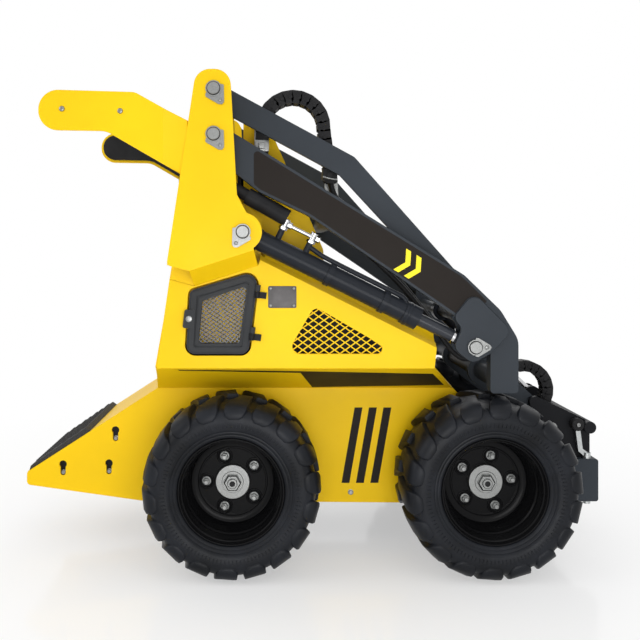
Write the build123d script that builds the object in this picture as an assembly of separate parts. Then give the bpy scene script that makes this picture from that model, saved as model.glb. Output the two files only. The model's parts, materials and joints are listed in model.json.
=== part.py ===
from build123d import *
import math
import os

# Mini loader, millimetres. X runs forward, Y to the left, Z up, ground at Z = 0.

# Half widths from the middle plane out: chassis, body, towers, and what runs between the tower plates
CHASSIS_HALF = 215
PANEL_HALF = 388
TOWER_OUT = PANEL_HALF + 58
TOWER_IN = PANEL_HALF - 58
ARM_OUT = TOWER_OUT - 26
ARM_IN = ARM_OUT - 40
LINK_OUT = ARM_IN - 18
LINK_IN = LINK_OUT - 18
LEVER_OUT = LINK_IN - 8
LEVER_IN = LEVER_OUT - 18
CYL_MID = (ARM_OUT + ARM_IN) / 2
GUARD_OUT = TOWER_OUT - 34
CONSOLE_HALF = TOWER_IN
HOOD_HALF = CONSOLE_HALF - 54

# Wheels and tyres
REAR_AXLE_X = -232
WHEELBASE = 720
AXLE_Z = 250
TYRE_WIDTH = 250
TYRE_GAP = 25
TYRE_MID_Y = CHASSIS_HALF + TYRE_GAP + TYRE_WIDTH / 2
LUG_TOP_R = 250
LUG_HALF_THICK = 16
LUG_PAIRS = 18
TYRE_SIDES = 36
BEAD_R = 125
RIM_FLANGE_R = 146
DISC_FACE = TYRE_MID_Y - 3
DISC_T = 10
HUB_CAP_R = 49
HUB_BARREL_R = 44
SPINDLE_R = 30
HOUSING_R = 70
HOUSING_T = 20
RUN_GAP = 0.05
STUD_CIRCLE_R = 75
STUD_R = 9
STUD_COUNT = 5
STUD_WELL_R = 20
STUD_WELL_DEPTH = 3

# Lower chassis
PLATE_T = 8
CHASSIS_OUTLINE = [
    (-867, 195), (-518, 146), (560, 138), (600, 178), (600, 321), (431, 490), (-468, 490), (-867, 233),
]
KEYHOLES = [(-757, 257), (-617, 260), (-597, 361)]
KEYHOLE_R = 11.5
KEYHOLE_SLOT_W = 16
KEYHOLE_SLOT_L = 26
FLOOR_Z = 146
FLOOR_T = 8

# Upper body
SHEET_T = 5
FENDER_OUT_Z = 575
FENDER_IN_Z = 490
PANEL_OUTLINE = [
    (-447, 575), (-410, 828), (-339, 808), (-160, 866), (-154, 882), (346, 633), (340, 575),
]
DOOR_OUTLINE = [(-363, 616), (-187, 616), (-157, 853), (-352, 795)]
DOOR_RADII = [25, 25, 30, 18]
DOOR_MESH_OUTLINE = [(-328, 646), (-212, 646), (-190, 809), (-317, 766)]
DOOR_GAP = 5
BEAD_INSET = 6
BEAD_W = 14
BEAD_H = 5
LOCK_TAB = [(-372, 690), (-340, 690), (-336, 742), (-366, 742)]
HINGE_OFF = 4
HINGE_OUT = 11.5
HINGE_R = 7
HINGE_PIN_R = 4
HINGE_LEN = 18
VENT_OUTLINE = [(-79, 616), (233, 616), (0, 751)]
VENT_RADII = [22, 15, 20]
HOOD_OUTLINE = [(-205, 700), (-205, 1300), (-140, 1300), (-120, 1257), (33, 910), (33, 700)]
LOUVRES = 5
LOUVRE_LOW = 985
LOUVRE_PITCH = 38
LOUVRE_W = 260
LOUVRE_H = 14
CONSOLE_OUTLINE = [(-398, 830), (-390, 1130), (-330, 1235), (-212, 1235), (-212, 830)]

# Towers
TOWER_T = 8
PIN_1 = (-281, 1354)
PIN_2 = (-281, 1229)
PIN_3 = (-201, 960)
PIN_R = 15
PIN_HEAD_R = 22
LOCK_PLATE = [(19, 12), (28, 11), (29, -36), (24, -43), (14, -43), (-22, -22), (-22, -13)]
ROD_PLATE = [(0, 26), (8, 26), (40, 7), (44, 0), (40, -7), (8, -26), (0, -26)]
LOCK_PLATE_T = 5

# Arms and linkage
DOUBLER_T = 10
ROD_PIN = (444, 640)
LEVER_UP = 125
LEVER_MID = 70
LEG_TUBE = (530, 538)
LEG_TUBE_R = 28
ARM_TUBE = (60, 1000)
ARM_TUBE_R = 26
BRACKET_OUT = 185
BRACKET_IN = 165
COUPLER_PIN = (736, 367)
SHAFT_R = 16

# Cylinders
BARREL_R = 29
BARREL_END = 548
GLAND_R = 33
GLAND_LEN = 46
PORTS = (95, 182)
PORT_R = 9
PORT_TOP = 60
ROD_R = 18
LIFT_LEN = math.hypot(ROD_PIN[0] - PIN_3[0], ROD_PIN[1] - PIN_3[1])
LIFT_DROP = math.degrees(math.atan2(ROD_PIN[1] - PIN_3[1], ROD_PIN[0] - PIN_3[0]))
EYE_W = 30
TILT_BARREL_R = 25
TILT_ROD_R = 14

LINK_PIN = (ROD_PIN[0], ROD_PIN[1] + LEVER_UP)
TILT_PIN = (ROD_PIN[0], ROD_PIN[1] + LEVER_MID)
TILT_EYE = (COUPLER_PIN[0], COUPLER_PIN[1] + LEVER_MID)
TILT_LEN = math.hypot(TILT_EYE[0] - TILT_PIN[0], TILT_EYE[1] - TILT_PIN[1])
TILT_DROP = math.degrees(math.atan2(TILT_EYE[1] - TILT_PIN[1], TILT_EYE[0] - TILT_PIN[0]))
COUPLER_HALF = 232
CHEEK_OUT = COUPLER_HALF - 28
CHEEK_IN = CHEEK_OUT - 16
SHAFT_OVER = 6


def outline(points, radii=0):
    return make_face(FilletPolyline(*points, radius=radii, close=True))


def side_plate(face, y_low, y_high):
    return extrude(Plane.XZ.offset(-y_high) * face, amount=y_high - y_low)


def disc(centre, radius, y_low, y_high):
    return side_plate(Pos(centre[0], centre[1]) * Circle(radius), y_low, y_high)


def sheet(corners, thick, towards):
    # Bent strip of sheet metal: a flat face thickened to the side that "towards" points to
    face = make_face(Polyline(*corners, close=True)).face()
    side = 1 if face.normal_at().dot(Vector(*towards)) > 0 else -1
    return extrude(face, amount=side * thick, dir=face.normal_at())


def both(solid):
    return [solid, mirror(solid, about=Plane.XZ)]


def save(shape, name):
    shapes = shape if isinstance(shape, list) else [shape]
    solids = []
    for item in shapes:
        solids.extend(item.solids())
    export_step(Compound(children=solids), f"parts/{name}.step")


def strut(start, end, r_start, r_end):
    # Flat bar outline between two eyes
    a = Pos(start[0], start[1]) * Circle(r_start)
    b = Pos(end[0], end[1]) * Circle(r_end)
    return make_hull(a.edges() + b.edges())


os.makedirs("parts", exist_ok=True)
AXLES = [("rear", REAR_AXLE_X), ("front", REAR_AXLE_X + WHEELBASE)]


# Tyre: carcass of flat facets, lugs fused on both shoulders
def ring_loft(stations, sides):
    sections = []
    for y, r in stations:
        sections.append(Plane.XZ.offset(-y) * RegularPolygon(r, sides))
    return loft(sections, ruled=True)


def make_tyre():
    half = TYRE_WIDTH / 2
    outer = [(-100, 150), (-half, 180), (-half, 205), (-95, 230), (-40, 238)]
    stations = outer + [(-y, r) for y, r in reversed(outer)]
    body = ring_loft(stations, TYRE_SIDES) - extrude(
        Plane.XZ.offset(-half) * RegularPolygon(BEAD_R / math.cos(math.pi / TYRE_SIDES), TYRE_SIDES),
        amount=TYRE_WIDTH
    )
    lug_outline = [(8, 228), (8, LUG_TOP_R), (70, 246), (112, 232), (123, 200), (100, 200), (80, 215)]
    lug = extrude(Plane.YZ * make_face(Polyline(*lug_outline, close=True)), amount=LUG_HALF_THICK, both=True)
    other = mirror(lug, about=Plane.XZ)
    step = 360 / LUG_PAIRS
    lugs = []
    for i in range(LUG_PAIRS):
        lugs.append(Rot(0, 180 + i * step, 0) * lug)
        lugs.append(Rot(0, 180 + (i + 0.5) * step, 0) * other)
    return body.fuse(*lugs)


tyre = make_tyre()
FACE_Y = DISC_FACE - TYRE_MID_Y


def revolve_y(points):
    return revolve(Plane.YZ * make_face(Polyline(*points, close=True)), Axis.Y)


rim = revolve_y([
    (-106, 118), (-106, RIM_FLANGE_R), (-100, RIM_FLANGE_R), (-100, BEAD_R), (100, BEAD_R),
    (100, RIM_FLANGE_R), (106, RIM_FLANGE_R), (106, 122), (70, 121), (66, 118), (32, 117), (28, 114),
    (FACE_Y, 113), (FACE_Y, HUB_BARREL_R), (FACE_Y - DISC_T, HUB_BARREL_R), (FACE_Y - DISC_T, 118),
])
studs = [Rot(0, 360 / STUD_COUNT * i, 0) * Pos(0, 0, STUD_CIRCLE_R) for i in range(STUD_COUNT)]
for place in studs:
    rim -= place * Rot(90, 0, 0) * Cylinder(STUD_R, 40)
    rim -= place * Pos(0, FACE_Y, 0) * Rot(90, 0, 0) * Cylinder(STUD_WELL_R, 2 * STUD_WELL_DEPTH)
hub = revolve_y([
    (-65, SPINDLE_R + RUN_GAP), (-65, HUB_BARREL_R), (FACE_Y, HUB_BARREL_R), (FACE_Y, HUB_CAP_R),
    (FACE_Y + 12, HUB_CAP_R), (FACE_Y + 12, 18), (FACE_Y + 34, 18), (FACE_Y + 34, 0), (FACE_Y - 2, 0),
    (FACE_Y - 2, SPINDLE_R + RUN_GAP),
])
rim += hub
for end, axle_x in AXLES:
    for side, turn in [("left", 0), ("right", 180)]:
        sign = 1 if side == "left" else -1
        place = Pos(axle_x, sign * TYRE_MID_Y, AXLE_Z) * Rot(0, 0, turn)
        save(place * tyre, f"tyre_{end}_{side}")
        save(place * rim, f"rim_{end}_{side}")

# Wheel spindles with bearing housings on the chassis plates
spindles = []
for end, axle_x in AXLES:
    spindle = disc((axle_x, AXLE_Z), HOUSING_R, CHASSIS_HALF, CHASSIS_HALF + HOUSING_T)
    spindle += disc((axle_x, AXLE_Z), SPINDLE_R, CHASSIS_HALF + HOUSING_T, DISC_FACE - 8)
    spindles.extend(both(spindle))
save(spindles, "spindles")

# Lower chassis plates with keyholes in the tail
plate_face = outline(CHASSIS_OUTLINE, [12, 60, 30, 20, 30, 0, 0, 12])
for x, z in KEYHOLES:
    plate_face -= Pos(x, z) * Circle(KEYHOLE_R)
    plate_face -= Pos(x, z - KEYHOLE_SLOT_L / 2) * Rectangle(KEYHOLE_SLOT_W, KEYHOLE_SLOT_L)
    plate_face -= Pos(x, z - KEYHOLE_SLOT_L) * Circle(KEYHOLE_SLOT_W / 2)
save(both(side_plate(plate_face, CHASSIS_HALF - PLATE_T, CHASSIS_HALF)), "chassis_plates")
INSIDE = CHASSIS_HALF - PLATE_T
floor = side_plate(outline([(-505, FLOOR_Z), (556, FLOOR_Z), (556, FLOOR_Z + FLOOR_T),
                            (-505, FLOOR_Z + FLOOR_T)]),
                   -INSIDE, INSIDE)
save(floor, "belly_plate")
engine = side_plate(outline([(-400, 154), (-60, 154), (-60, 560), (-400, 560)]), -180, 180)
save(engine, "engine_block")

# Tail cover and anti-slip step
cover = side_plate(outline([(-867, 226), (-867, 233), (-468, 490), (-468, 483)]), -INSIDE, INSIDE)
save(cover, "tail_cover")
step_face = outline([(-862, 236.3), (-858, 250), (-690, 366), (-676, 356)])
save(side_plate(step_face, -INSIDE, INSIDE) - cover, "foot_step")

# Nose sheet between the chassis plates
nose_face = outline([(341, 504), (341, 513.5), (598, 274), (598, 160), (591, 160), (591, 271)],
                    [0, 0, 47, 0, 0, 40])
save(side_plate(nose_face, -INSIDE, INSIDE), "nose_cover")

# Room under the fender strips, kept free for the tyres
ROOM_IN, ROOM_OUT = CHASSIS_HALF - 4, PANEL_HALF + 4
under_fender = make_face(Polyline((ROOM_IN, 0), (ROOM_IN, 497), (ROOM_OUT, 585), (ROOM_OUT, 0), close=True))
wheel_room = both(extrude(Plane.YZ.offset(-900) * under_fender, amount=1800))


# Expanded metal: a sheet with staggered diamond holes, cut by its outline
def expanded_metal(edge, window, pitch_x, pitch_z, strand):
    box = window.bounding_box()
    hole_w = pitch_x - 2 * strand
    hole_h = pitch_z - 1.2 * strand
    diamond = make_face(Polyline((-hole_w / 2, 0), (0, -hole_h / 2), (hole_w / 2, 0), (0, hole_h / 2),
                                 close=True))
    holes = []
    rows = math.ceil((box.max.Y - box.min.Y) / (pitch_z / 2)) + 1
    columns = math.ceil((box.max.X - box.min.X) / pitch_x) + 1
    for row in range(rows):
        for column in range(columns):
            x = box.min.X + (column + 0.5 * (row % 2)) * pitch_x
            z = box.min.Y + row * pitch_z / 2
            holes.append(Pos(x, z) * diamond)
    return edge - (Sketch() + holes & window)


# Side panels with fender strip and top flange
door_face = outline(DOOR_OUTLINE, DOOR_RADII)
vent_face = outline(VENT_OUTLINE, VENT_RADII)


def make_side_panel():
    face = outline(PANEL_OUTLINE) - offset(door_face, DOOR_GAP) - vent_face
    panel = side_plate(face, PANEL_HALF - SHEET_T, PANEL_HALF)
    panel += sheet([(-447, PANEL_HALF, FENDER_OUT_Z), (340, PANEL_HALF, FENDER_OUT_Z),
                    (428, CHASSIS_HALF, FENDER_IN_Z), (-468, CHASSIS_HALF, FENDER_IN_Z)], SHEET_T, (0, -1, 1))
    panel += sheet([(-154, PANEL_HALF, 882), (346, PANEL_HALF, 633),
                    (346, PANEL_HALF - 22, 647), (-154, PANEL_HALF - 22, 896)], SHEET_T, (0, -1, -1))
    return panel


panel = make_side_panel()
save(both(panel), "side_panels")
grille = expanded_metal(offset(vent_face, 8), vent_face, 30, 21, 3)
save(both(side_plate(grille, PANEL_HALF - SHEET_T - 4, PANEL_HALF - SHEET_T)), "vent_grilles")

# Doors: frame, lock tab and wire mesh
mesh_face = outline(DOOR_MESH_OUTLINE, 10)
frame_solid = side_plate(door_face - mesh_face, PANEL_HALF - 7, PANEL_HALF + 4)
mesh_solid = side_plate(expanded_metal(offset(mesh_face, 8), mesh_face, 20, 12, 2), PANEL_HALF - 10,
                        PANEL_HALF - 7)
bead = offset(door_face, -BEAD_INSET) - offset(door_face, -BEAD_INSET - BEAD_W)
frame_solid += side_plate(bead, PANEL_HALF + 4, PANEL_HALF + 4 + BEAD_H)
frame_solid += side_plate(outline(LOCK_TAB, 6), PANEL_HALF + 4, PANEL_HALF + 12)
door = frame_solid + mesh_solid
# Hinges on the front edge: door knuckle and leaf, panel knuckle, leaf and pin
EDGE_LOW, EDGE_HIGH = Vector(*DOOR_OUTLINE[1]), Vector(*DOOR_OUTLINE[2])
EDGE_TILT = math.degrees(math.atan2(EDGE_HIGH.X - EDGE_LOW.X, EDGE_HIGH.Y - EDGE_LOW.Y))
panel_hinges = []
for share in (0.25, 0.75):
    spot = EDGE_LOW + (EDGE_HIGH - EDGE_LOW) * share
    hinge = Pos(spot.X, PANEL_HALF + HINGE_OUT, spot.Y) * Rot(0, EDGE_TILT, 0) * Pos(HINGE_OFF, 0, 0)
    half = HINGE_LEN / 2 + 0.5
    knuckle = Pos(0, 0, half) * Cylinder(HINGE_R, HINGE_LEN)
    knuckle += Pos(-13, 4 - HINGE_OUT + 2, half) * Box(26, 4, HINGE_LEN)
    door += hinge * (knuckle - Cylinder(HINGE_PIN_R + RUN_GAP, 200))
    fixed = Pos(0, 0, -half) * Cylinder(HINGE_R, HINGE_LEN)
    fixed += Pos(13, 3 - HINGE_OUT, -half) * Box(26, 6, HINGE_LEN)
    panel_hinges.extend(both(hinge * (fixed + Pos(0, 0, half) * Cylinder(HINGE_PIN_R, HINGE_LEN))))
save(panel_hinges, "door_hinges")
save(door, "door_left")
save(mirror(door, about=Plane.XZ), "door_right")

# Rear wall, front fascia and deck
BODY_IN = PANEL_HALF - SHEET_T
rear_wall = side_plate(outline([(-466, 494), (-410, 812), (-404, 812), (-460, 494)]), -BODY_IN, BODY_IN)
rear_wall += side_plate(outline([(-410, 812), (-404.2, 845), (-398.4, 845), (-404, 812)]), 4 - TOWER_IN,
                        TOWER_IN - 4)
for room in wheel_room:
    rear_wall -= room
save(rear_wall, "rear_wall")
HOOD_FRONT = HOOD_OUTLINE[-1][0]
deck = side_plate(outline([(-145, 870.2), (345, 626), (345, 619), (-145, 863.2)]), -BODY_IN, BODY_IN)
deck -= side_plate(outline([(-200, 600), (HOOD_FRONT, 600), (HOOD_FRONT, 900), (-200, 900)]),
                   -HOOD_HALF, HOOD_HALF)
save(deck, "deck")
fascia = side_plate(outline([(335, 497), (335, 625), (341, 625), (341, 497)]), -BODY_IN, BODY_IN) - deck
for room in wheel_room:
    fascia -= room
save(fascia, "front_fascia")

# Hood and console, open below
hood = side_plate(outline(HOOD_OUTLINE, [0, 12, 20, 40, 40, 0]), -HOOD_HALF, HOOD_HALF)
hood = offset(hood, -4, openings=hood.faces().sort_by(Axis.Z)[0])
for i in range(LOUVRES):
    z = LOUVRE_LOW + i * LOUVRE_PITCH
    hood -= Pos(HOOD_FRONT - (z - 910) * 153 / 347, 0, z) * Box(60, LOUVRE_W, LOUVRE_H)
save(hood, "hood")
console = side_plate(outline(CONSOLE_OUTLINE, [0, 30, 20, 8, 0]), -CONSOLE_HALF, CONSOLE_HALF)
console_form = console
console = offset(console, -4, openings=console.faces().sort_by(Axis.Z)[0])
save(console, "console")
LEVER_ROWS = (-180, -110, 0, 110, 180)
levers = []
for y in LEVER_ROWS:
    foot = Pos(-352, y, 1197) * Rot(0, -30, 0)
    stem = foot * Pos(0, 0, 40) * Cylinder(5, 80)
    levers.append(stem + foot * Pos(0, 0, 84) * Sphere(14) - console_form)
save(levers, "control_levers")


# Towers: outer plate, inner plate and rear strip in one welding
def make_tower():
    outer = outline([(-411, 868), (-329.5, 1409), (-236, 1409), (-217, 1063), (-190, 1012), (-170, 910),
                     (-349, 852)],
                    [12, 45, 45, 0, 0, 0, 0])
    outer += Pos(*PIN_3) * Circle(53)
    inner = outline([(-390, 640), (-398, 868), (-329.5, 1400), (-236, 1400), (-217, 1063), (-150, 1000),
                     (-150, 640)],
                    [0, 0, 45, 45, 0, 0, 0])
    for pin in (PIN_1, PIN_2, PIN_3):
        outer -= Pos(*pin) * Circle(PIN_R)
        inner -= Pos(*pin) * Circle(PIN_R)
    tower = side_plate(outer, TOWER_OUT - TOWER_T, TOWER_OUT)
    tower += side_plate(inner, TOWER_IN, TOWER_IN + TOWER_T)
    strip = outline([(-410, 868), (-335.5, 1362), (-329.5, 1362), (-404, 868)])
    tower += side_plate(strip, TOWER_IN, TOWER_OUT - 1)
    tower += sheet([(-349, TOWER_OUT, 852), (-170, TOWER_OUT, 910), (-160, PANEL_HALF, 866),
                    (-339, PANEL_HALF, 808)],
                   SHEET_T, (0, -1, 1))
    return tower


tower = make_tower()
save(both(tower), "towers")


# Pin head with its lock plate; way -1 turns the plate to the other side
def pin_head(pin, plate, way, face):
    points = [(pin[0] + way * x, pin[1] + z) for x, z in plate]
    return disc(pin, PIN_HEAD_R, face, face + 8) + side_plate(outline(points, 3), face, face + LOCK_PLATE_T)


pins = []
for pin, way in [(PIN_1, 1), (PIN_2, 1), (PIN_3, -1)]:
    pins.extend(both(disc(pin, PIN_R, TOWER_IN, TOWER_OUT) + pin_head(pin, LOCK_PLATE, way, TOWER_OUT)))
save(pins, "tower_pins")

# Hand guards with pads and a bar
guard_face = outline([(-774, 1360), (-504, 1352), (-345, 1263), (-367, 1117), (-585, 1243), (-774, 1246)],
                     [55, 40, 0, 0, 60, 55])
GUARD_T = 6
PAD_T = 12
guard = side_plate(guard_face, GUARD_OUT - GUARD_T, GUARD_OUT)
guard += sheet([(-425, GUARD_OUT, 1307), (-355, TOWER_OUT - 6, 1268), (-355, TOWER_OUT - 6, 1113),
                (-425, GUARD_OUT, 1153)],
               GUARD_T, (0, -1, 0))
save(both(guard - tower), "hand_guards")
PAD_IN = GUARD_OUT - GUARD_T - PAD_T
save(both(side_plate(offset(guard_face, -10), PAD_IN, PAD_IN + PAD_T) - tower), "guard_pads")
save(disc((-560, 1300), 14, -PAD_IN, PAD_IN), "grab_bar")


# Lift arms with legs, pivots at the towers
ARM_OUTLINE = [
    (-262, 1258), (416, 840), (517, 742), (567, 660), (567, 510), (489, 510), (489, 690), (430, 700),
    (393, 724), (233, 835), (-15, 1004), (-154, 1071), (-300, 1185),
]
ARM_RADII = [0, 60, 80, 60, 10, 10, 20, 20, 0, 60, 200, 60, 0]
ARM_EYE_R = 48
arm_face = outline(ARM_OUTLINE, ARM_RADII) + Pos(*PIN_2) * Circle(ARM_EYE_R)
arm = side_plate(arm_face - Pos(*PIN_2) * Circle(PIN_R + RUN_GAP), ARM_IN, ARM_OUT)
doubler = outline([(440, 790), (545, 685), (486, 622), (436, 594), (384, 638), (408, 692), (384, 724)],
                  [25, 25, 25, 30, 25, 20, 20])
doubler -= Pos(*ROD_PIN) * Circle(PIN_R)
arm += side_plate(doubler, ARM_OUT, ARM_OUT + DOUBLER_T)
arm += side_plate(doubler, ARM_IN - DOUBLER_T, ARM_IN)
save(both(arm), "lift_arms")
leg_tube = disc(LEG_TUBE, LEG_TUBE_R, -ARM_IN, ARM_IN)
bracket = strut(LEG_TUBE, COUPLER_PIN, 45, 36) - Pos(*COUPLER_PIN) * Circle(SHAFT_R + RUN_GAP)
for solid in both(side_plate(bracket, BRACKET_IN, BRACKET_OUT)):
    leg_tube += solid
arm_tube = disc(ARM_TUBE, ARM_TUBE_R, -ARM_IN, ARM_IN)
save([leg_tube, arm_tube], "arm_cross_tubes")
stub = disc(ROD_PIN, PIN_R, LEVER_IN - 3, ARM_IN)
head = disc(ROD_PIN, PIN_R, ARM_OUT, ARM_OUT + DOUBLER_T)
head += pin_head(ROD_PIN, ROD_PLATE, 1, ARM_OUT + DOUBLER_T)
save(both(stub) + both(head), "arm_pins")

# Upper links
BEND = (95, 1150)
link = strut(PIN_1, BEND, 33, 33) + strut(BEND, LINK_PIN, 33, 28)
link -= Pos(*PIN_1) * Circle(PIN_R + RUN_GAP)
link -= Pos(*LINK_PIN) * Circle(12 + RUN_GAP)
link = side_plate(link, LINK_IN, LINK_OUT)
save(link, "link_left")
save(mirror(link, about=Plane.XZ), "link_right")

# Levelling lever: two bars, a cross shaft and the link pins
bar = strut(ROD_PIN, LINK_PIN, 30, 26) - Pos(*ROD_PIN) * Circle(PIN_R + RUN_GAP)
lever = disc(TILT_PIN, 18, -LEVER_OUT, LEVER_OUT)
for solid in both(side_plate(bar, LEVER_IN, LEVER_OUT)) + both(disc(LINK_PIN, 12, LEVER_IN, LINK_OUT + 2)):
    lever += solid
save(lever, "level_lever")

# Lift cylinders, drawn along X and turned to their pins
lift_place = Pos(PIN_3[0], CYL_MID, PIN_3[1]) * Rot(0, -LIFT_DROP, 0)


def along_x(radius, start, end):
    return Pos((start + end) / 2, 0, 0) * Rot(0, 90, 0) * Cylinder(radius, end - start)


barrel = along_x(BARREL_R, 25, BARREL_END) + disc((0, 0), 30, -18, 18)
barrel += along_x(GLAND_R, BARREL_END - GLAND_LEN, BARREL_END)
for s in PORTS:
    barrel += Pos(s, 0, PORT_TOP / 2 + 10) * Cylinder(PORT_R, PORT_TOP - 20)
barrel -= along_x(ROD_R + RUN_GAP, 60, BARREL_END)
barrel -= disc((0, 0), PIN_R + RUN_GAP, -20, 20)
rod = along_x(ROD_R, 80, LIFT_LEN - 20) + disc((LIFT_LEN, 0), 30, -EYE_W / 2, EYE_W / 2)
rod -= disc((LIFT_LEN, 0), PIN_R + 1, -20, 20)
save(lift_place * barrel, "lift_barrel_left")
save(mirror(lift_place * barrel, about=Plane.XZ), "lift_barrel_right")
save(lift_place * rod, "lift_rod_left")
save(mirror(lift_place * rod, about=Plane.XZ), "lift_rod_right")

# Tilt cylinder in the middle
tilt_place = Pos(TILT_PIN[0], 0, TILT_PIN[1]) * Rot(0, -TILT_DROP, 0)
tilt_barrel = along_x(TILT_BARREL_R, 20, 250) + disc((0, 0), 32, -20, 20)
tilt_barrel -= along_x(TILT_ROD_R + RUN_GAP, 60, 250)
tilt_barrel -= disc((0, 0), 18 + RUN_GAP, -25, 25)
save(tilt_place * tilt_barrel, "tilt_barrel")
tilt_rod = along_x(TILT_ROD_R, 100, TILT_LEN - 15) + disc((TILT_LEN, 0), 22, -EYE_W / 2, EYE_W / 2)
tilt_rod -= disc((TILT_LEN, 0), 13, -20, 20)
save(tilt_place * tilt_rod, "tilt_rod")

# Coupler: pivot shaft, frame, lock boxes, pins and levers
save(disc(COUPLER_PIN, SHAFT_R, -CHEEK_OUT - SHAFT_OVER, CHEEK_OUT + SHAFT_OVER), "coupler_shaft")
cheek = outline([(672, 430), (668, 456), (690, 462), (853, 385), (853, 165), (800, 165), (770, 300),
                 (720, 325)],
                [12, 12, 12, 12, 10, 10, 40, 30])
frame = disc((844, 372), 18, -COUPLER_HALF, COUPLER_HALF)
ear = strut(TILT_EYE, COUPLER_PIN, 26, 30) + outline([(736, 340), (842, 190), (842, 372), (736, 460)])
plates = both(side_plate(cheek, CHEEK_IN, CHEEK_OUT)) + both(side_plate(ear, 20, 32))
for solid in plates:
    frame += solid
face_plate = side_plate(outline([(838, 165), (848, 165), (848, 372), (838, 372)]), -CHEEK_IN, CHEEK_IN)
for y in (-95, 95):
    face_plate -= Pos(843, y, 290) * Box(20, 90, 70)
frame += face_plate
lock_box = side_plate(outline([(785, 149), (868, 149), (868, 277), (785, 277)], [8, 8, 8, 8]), 150,
                      COUPLER_HALF)
for solid in both(lock_box):
    frame -= solid
frame -= disc(COUPLER_PIN, SHAFT_R + RUN_GAP, -300, 300)
save(frame, "coupler_frame")
LOCK_PIN_X, LOCK_PIN_Y = 838, COUPLER_HALF - 15
LOCK_PIN_R = 12
LOCK_TIP_R = 11
LOCK_TIP_LEN = 9
BOX_BOTTOM = 149
LOCK_PIN_LEN = 145
pin_hole = Pos(LOCK_PIN_X, LOCK_PIN_Y, 220) * Cylinder(LOCK_PIN_R, 200)
save(both(lock_box - pin_hole), "lock_boxes")
shank = Pos(LOCK_PIN_X, LOCK_PIN_Y, BOX_BOTTOM)
lock_pin = shank * Cylinder(LOCK_PIN_R, LOCK_PIN_LEN, align=(Align.CENTER, Align.CENTER, Align.MIN))
lock_pin += shank * Cylinder(LOCK_TIP_R, LOCK_TIP_LEN, align=(Align.CENTER, Align.CENTER, Align.MAX))
# Cranked lever on the pin with a round grip
LEVER_LINE = [(LOCK_PIN_X, 286), (818, 302), (808, 380)]
crank = strut(LEVER_LINE[0], LEVER_LINE[1], 8, 7) + strut(LEVER_LINE[1], LEVER_LINE[2], 7, 7)
LEVER_HALF = 6
lock_lever = side_plate(crank, LOCK_PIN_Y - LEVER_HALF, LOCK_PIN_Y + LEVER_HALF)
lock_lever += disc(LEVER_LINE[2], 14, LOCK_PIN_Y - LEVER_HALF, LOCK_PIN_Y + LEVER_HALF + 8)
save(both(lock_pin + lock_lever), "lock_pins")


# Cable carriers: chamfered links set along a line at an even pitch
LINK_PITCH = 23
CARRIER_H = 26


def carrier_links(line):
    wire = Wire(line.edges())
    count = round(wire.length / LINK_PITCH)
    half_l, half_h, cut = 0.62 * LINK_PITCH, CARRIER_H / 2, 5
    corner = [(half_l, cut - half_h), (half_l, half_h - cut), (half_l - cut, half_h)]
    points = corner + [(-x, z) for x, z in reversed(corner)]
    points += [(cut - half_l, -half_h), (half_l - cut, -half_h)]
    link_face = make_face(Polyline(*points, close=True))
    links = []
    for i in range(count):
        share = (i + 0.5) / count
        spot = wire.position_at(share)
        along = wire.tangent_at(share)
        links.append(Pos(spot.X, spot.Y) * Rot(0, 0, math.degrees(math.atan2(along.Y, along.X))) * link_face)
    return Sketch() + links


CARRIER_IN = HOOD_HALF + 6
CARRIER_W = 50
carrier_line = Line((-150, 1190), (-146, 1285)) + ThreePointArc((-146, 1285), (-60, 1364), (30, 1262))
carrier_line += Line((30, 1262), (50, 1120))
save(side_plate(carrier_links(carrier_line), -CARRIER_IN - CARRIER_W, -CARRIER_IN), "rear_carrier")
hood_tab = outline([(-172, 1176), (-136, 1176), (-136, 1280), (-172, 1280)], 6)
save(side_plate(hood_tab, -CARRIER_IN, -HOOD_HALF), "hood_bracket")
arm_bracket = outline([(36, 1000), (80, 1000), (72, 1168), (36, 1168)], [0, 0, 10, 10])
save(side_plate(arm_bracket, -CARRIER_IN, 5 - CARRIER_IN) - arm_tube, "carrier_bracket")
front_line = Line((557, 548), (650, 538)) + ThreePointArc((650, 538), (742, 505), (738, 425))
save(side_plate(carrier_links(front_line), -130, -90) - leg_tube, "front_carrier")
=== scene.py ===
import bpy
import bmesh
import json
import math
from mathutils import Matrix, Vector


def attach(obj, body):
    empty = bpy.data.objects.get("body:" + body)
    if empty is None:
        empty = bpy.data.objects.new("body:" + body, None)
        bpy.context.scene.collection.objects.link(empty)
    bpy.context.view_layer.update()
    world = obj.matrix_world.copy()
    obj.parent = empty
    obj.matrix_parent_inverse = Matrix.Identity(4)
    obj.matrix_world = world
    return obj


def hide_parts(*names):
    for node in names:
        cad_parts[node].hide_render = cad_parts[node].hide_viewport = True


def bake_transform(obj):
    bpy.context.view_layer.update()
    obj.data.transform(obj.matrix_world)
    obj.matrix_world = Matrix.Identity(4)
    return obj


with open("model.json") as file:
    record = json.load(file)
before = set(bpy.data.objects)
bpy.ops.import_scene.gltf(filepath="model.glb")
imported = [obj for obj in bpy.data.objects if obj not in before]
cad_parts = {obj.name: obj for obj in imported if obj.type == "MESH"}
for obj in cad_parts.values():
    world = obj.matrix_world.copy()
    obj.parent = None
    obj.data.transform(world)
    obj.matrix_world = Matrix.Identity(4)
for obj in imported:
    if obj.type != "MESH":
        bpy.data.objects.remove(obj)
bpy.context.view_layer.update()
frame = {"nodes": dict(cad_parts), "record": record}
NODES = frame["nodes"]
MM = 0.001
SIDES = (("right", -1), ("left", 1))

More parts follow.
